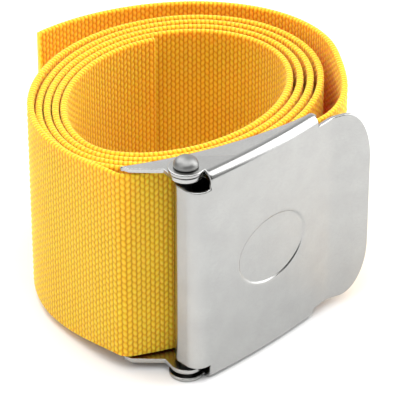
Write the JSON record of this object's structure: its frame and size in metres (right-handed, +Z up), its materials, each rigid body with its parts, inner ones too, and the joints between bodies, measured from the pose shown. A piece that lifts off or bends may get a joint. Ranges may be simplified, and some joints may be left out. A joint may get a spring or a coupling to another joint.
{
  "type": "dive weight belt",
  "caption": "Rolled yellow webbing weight belt threaded through a stainless lever buckle whose hinged cover swings open to free the strap.",
  "frame": {"origin": "centre of the belt's box in plan, on the floor the roll stands on", "axes": "+Z up across the webbing's width, +X along the lever from its hinge to its tab, -Y out of the lever's face"},
  "size_m": [0.0854, 0.0866, 0.0591],
  "materials": {
    "webbing": "coarse woven",
    "plate_steel": "satin",
    "lever_steel": "tumbled satin",
    "pin_steel": "polished"
  },
  "bodies": {
    "belt": {"strap": "webbing", "base_plate": "plate_steel", "hinge_pin": "pin_steel"},
    "lever": {"lever": "lever_steel"}
  },
  "joints": [
    {"name": "lever_hinge", "type": "hinge", "parent": "belt", "child": "lever", "pos_m": [-0.03134, -0.03639, 0.02825], "axis": [0, 0, -1], "range_deg": [0, 100]}
  ]
}
